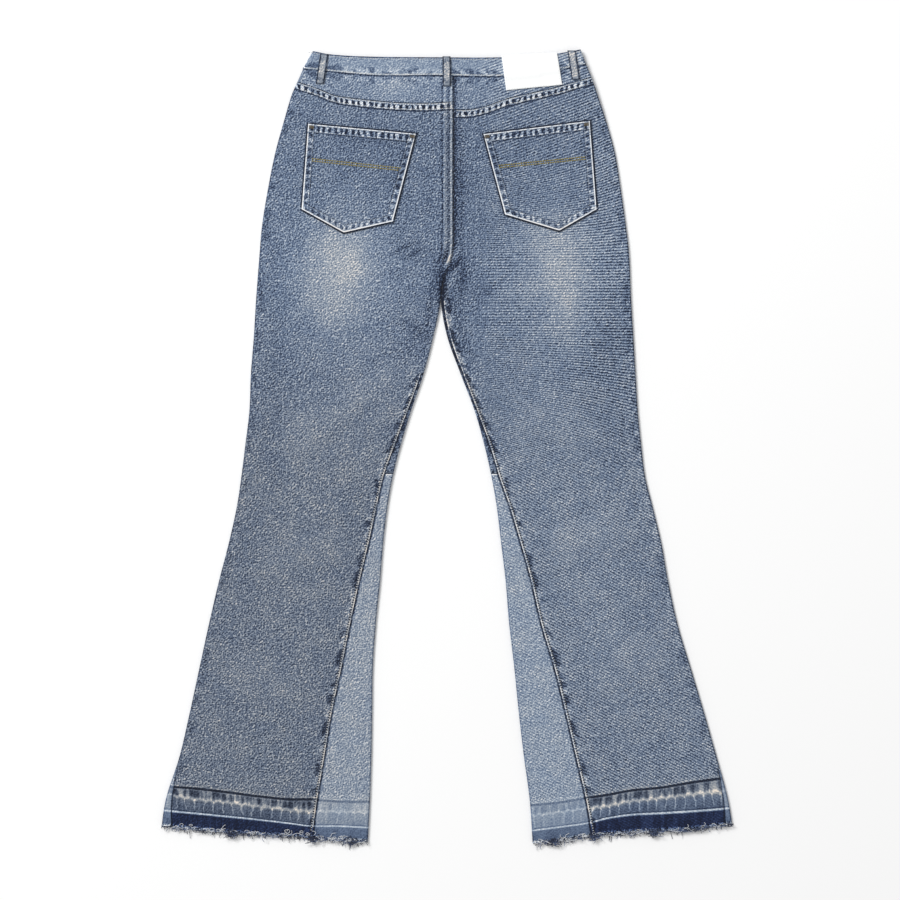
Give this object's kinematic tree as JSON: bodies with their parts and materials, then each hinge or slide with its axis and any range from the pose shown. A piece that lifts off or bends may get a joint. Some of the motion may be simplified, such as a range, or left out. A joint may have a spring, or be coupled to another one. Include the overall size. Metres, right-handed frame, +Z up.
{
  "type": "flared jeans",
  "caption": "Flared denim jeans laid flat with their back up, with wedge inserts let into the legs, patch pockets, a plain waist patch and frayed let-down hems.",
  "frame": {"origin": "on the surface that the jeans lie on, under the middle of their box", "axes": "+Y from the hems to the waist, +Z up out of the back of the garment, +X to the wearer's right"},
  "size_m": [0.7754, 1.0904, 0.0106],
  "materials": {
    "denim": "washed mid-blue cotton twill, matt, lighter along its seams and folds",
    "denim_insert": "paler grey-blue cotton twill, matt",
    "denim_waist": "washed cotton twill, worn pale along its edges",
    "card": "plain white jeans patch, leather-like card, matt and bare",
    "brass": "aged brass, satin",
    "thread": "loose cotton yarn"
  },
  "bodies": {
    "root": {"back_leg_left": "denim", "back_leg_right": "denim", "front_leg_left": "denim", "front_leg_right": "denim", "yoke_left": "denim", "yoke_right": "denim", "inner_insert_left": "denim_insert", "inner_insert_right": "denim_insert", "side_insert_left": "denim_insert", "side_insert_right": "denim_insert", "waistband": "denim_waist", "back_pocket_left": "denim", "back_pocket_right": "denim", "belt_loop_left": "denim_waist", "belt_loop_centre": "denim_waist", "belt_loop_right": "denim_waist", "belt_loop_front_left": "denim_waist", "belt_loop_front_right": "denim_waist", "waist_patch": "card", "waist_button": "brass", "hem_fray_left": "thread", "hem_fray_right": "thread", "hem_fray_front_left": "thread", "hem_fray_front_right": "thread"}
  },
  "joints": []
}
